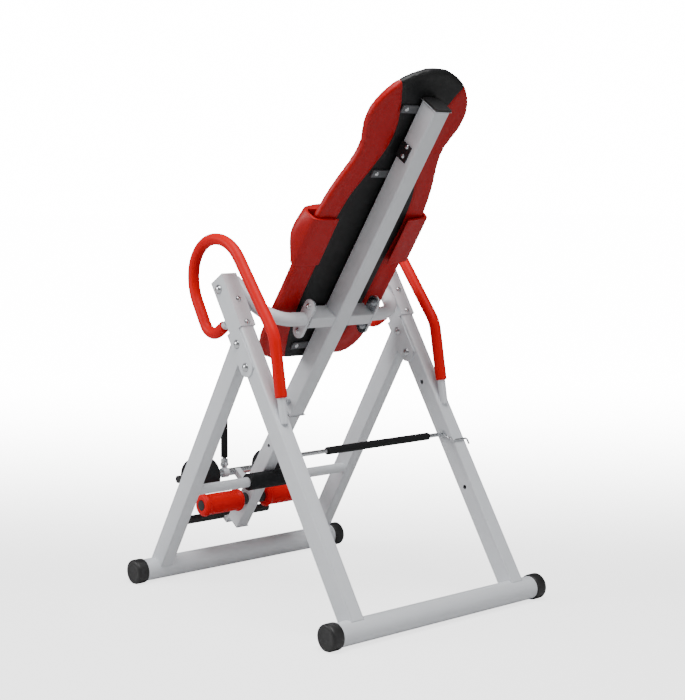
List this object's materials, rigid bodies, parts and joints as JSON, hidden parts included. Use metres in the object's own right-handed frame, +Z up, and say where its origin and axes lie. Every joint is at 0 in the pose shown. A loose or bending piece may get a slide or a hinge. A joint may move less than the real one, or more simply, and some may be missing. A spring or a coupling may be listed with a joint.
{
  "type": "inversion table",
  "caption": "Folding A-frame inversion table: reclining padded backboard on a tilting boom, foam ankle rollers, looped foam handles and an angle limiter rod.",
  "frame": {"origin": "on the floor, in the middle of the object's overall box seen from above", "axes": "+Z up; +X towards the user's left side, parallel to both floor tubes; +Y towards the head end, where the table swings down"},
  "size_m": [0.66, 0.821, 1.2389],
  "materials": {
    "frame_paint": "semi-gloss light silver-grey powder coat",
    "black_plastic": "moulded, fine matte grain",
    "zinc_steel": "bright zinc plate",
    "red_foam": "closed-cell foam, soft matte skin",
    "black_foam": "closed-cell foam, matte",
    "red_vinyl": "fine grained vinyl",
    "black_vinyl": "fine grained vinyl",
    "plywood": "raw plywood"
  },
  "bodies": {
    "rear_frame": {"rear_floor_tube": "frame_paint", "rear_end_caps": "black_plastic", "rear_leg_left": "frame_paint", "rear_leg_right": "frame_paint", "pivot_bracket_left": "frame_paint", "pivot_bracket_right": "frame_paint", "bracket_bolts": "zinc_steel", "pivot_bolts": "zinc_steel", "handle_tube_left": "frame_paint", "handle_tube_right": "frame_paint", "handle_grip_left": "red_foam", "handle_grip_right": "red_foam", "angle_rod": "zinc_steel", "angle_rod_foam": "black_foam"},
    "keeper": {"rod_keeper": "zinc_steel"},
    "front_frame": {"front_floor_tube": "frame_paint", "front_end_caps": "black_plastic", "front_leg_left": "frame_paint", "front_leg_right": "frame_paint", "front_cross_tube": "frame_paint", "stop_sleeve": "black_foam"},
    "table": {"main_boom": "frame_paint", "boom_end_cap": "black_plastic", "boom_bush": "black_plastic", "pin_housing": "zinc_steel", "cross_stubs": "frame_paint", "flange_bolts": "zinc_steel", "pivot_arm_left": "frame_paint", "pivot_arm_right": "frame_paint", "arm_caps": "black_plastic", "pad_straps": "frame_paint", "board_screws": "zinc_steel", "side_bracket": "black_plastic", "backrest_board": "plywood", "backrest_centre": "black_vinyl", "backrest_side_left": "red_vinyl", "backrest_side_right": "red_vinyl", "lumbar_cushion": "red_vinyl", "lumbar_flap_left": "red_vinyl", "lumbar_flap_right": "red_vinyl"},
    "pin": {"height_pin": "black_plastic"},
    "foot_slide": {"inner_boom": "frame_paint", "inner_end_plug": "black_plastic", "ankle_guide": "frame_paint", "heel_axle": "zinc_steel", "heel_spacers": "black_plastic", "heel_roller_left": "red_foam", "heel_roller_right": "red_foam", "foot_bar": "black_plastic", "foot_bracket": "frame_paint"},
    "ankle_holder": {"ankle_bar": "zinc_steel", "ankle_slide_bar": "frame_paint", "ankle_roller_left": "black_foam", "ankle_roller_right": "black_foam", "ankle_bar_caps": "black_plastic", "lever_lug": "frame_paint", "lever_pin": "zinc_steel"},
    "lever": {"lever_rod": "zinc_steel", "lever_grip": "black_foam"}
  },
  "joints": [
    {"name": "table_tilt", "type": "hinge", "parent": "rear_frame", "child": "table", "pos_m": [0, -0.06593, 0.73], "axis": [-1, 0, 0], "range_deg": [0, 91.5]},
    {"name": "frame_fold", "type": "hinge", "parent": "rear_frame", "child": "front_frame", "pos_m": [0, 0.00053, 0.60987], "axis": [1, 0, 0], "range_deg": [0, 32]},
    {"name": "keeper_swing", "type": "hinge", "parent": "rear_frame", "child": "keeper", "pos_m": [-0.226, 0.1595, 0.37319], "axis": [1, 0, 0], "range_deg": [0, 80]},
    {"name": "height_slide", "type": "slide", "parent": "table", "child": "foot_slide", "axis": [0, 0.5676, 0.8233], "range_m": [-0.087, 0.058]},
    {"name": "height_pin_pull", "type": "slide", "parent": "table", "child": "pin", "axis": [1, 0, 0], "range_m": [-0.012, 0]},
    {"name": "ankle_slide", "type": "slide", "parent": "foot_slide", "child": "ankle_holder", "axis": [0, -0.8233, 0.5676], "range_m": [0, 0.045]},
    {"name": "ankle_lever", "type": "hinge", "parent": "ankle_holder", "child": "lever", "pos_m": [0.038, -0.35707, 0.25817], "axis": [1, 0, 0], "range_deg": [0, 70]}
  ]
}
